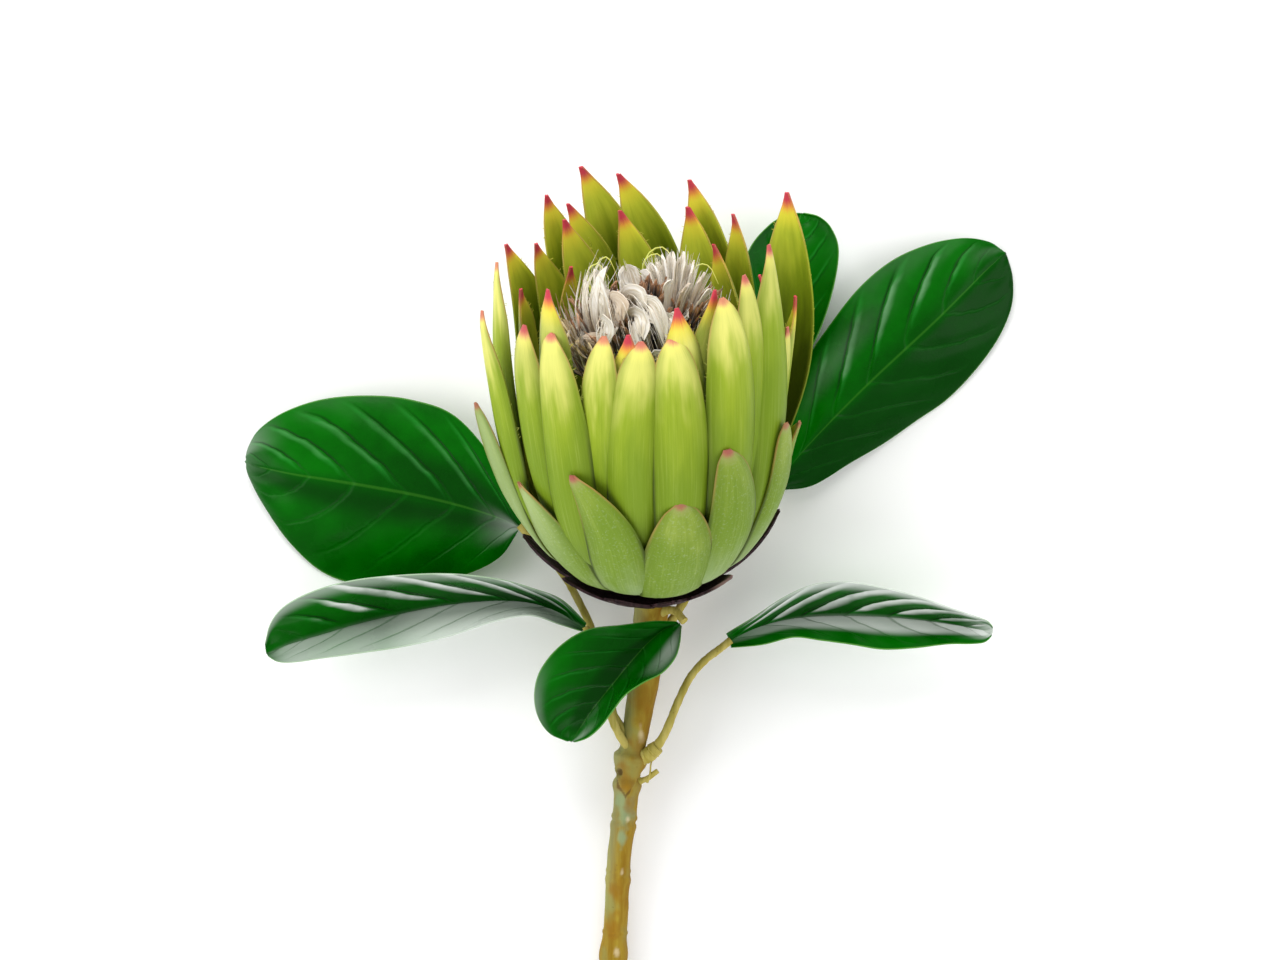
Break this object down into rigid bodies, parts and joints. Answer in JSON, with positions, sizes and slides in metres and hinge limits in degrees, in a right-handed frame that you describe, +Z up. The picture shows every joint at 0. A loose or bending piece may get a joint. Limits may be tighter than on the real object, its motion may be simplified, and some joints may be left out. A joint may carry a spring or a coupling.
{
  "type": "protea flower",
  "caption": "Cut protea bloom laid on its back: a cup of pointed green bracts round white silky florets, on a woody stem with glossy leaves.",
  "frame": {"origin": "middle of the footprint, on the surface that the flower lies on", "axes": "+Z up from the surface, +Y along the flower from the stem's cut end towards the bracts' tips, +X to the right seen from above with the head furthest away"},
  "size_m": [0.2196, 0.2706, 0.0957],
  "materials": {
    "stem_bark": "matte bark, ochre with grey-green patches",
    "calyx_dark": "dry, dark brown",
    "bract_green": "waxy, yellow-green with red tips",
    "floret_white": "silky, white and cream",
    "leaf_green": "glossy dark green"
  },
  "bodies": {
    "root": {"stem": "stem_bark", "calyx": "calyx_dark", "bract_head": "bract_green", "florets": "floret_white", "leaf_left_upper": "leaf_green", "leaf_left_lower": "leaf_green", "leaf_front": "leaf_green", "leaf_right_upper": "leaf_green", "leaf_right": "leaf_green", "leaf_right_lower": "leaf_green"}
  },
  "joints": []
}
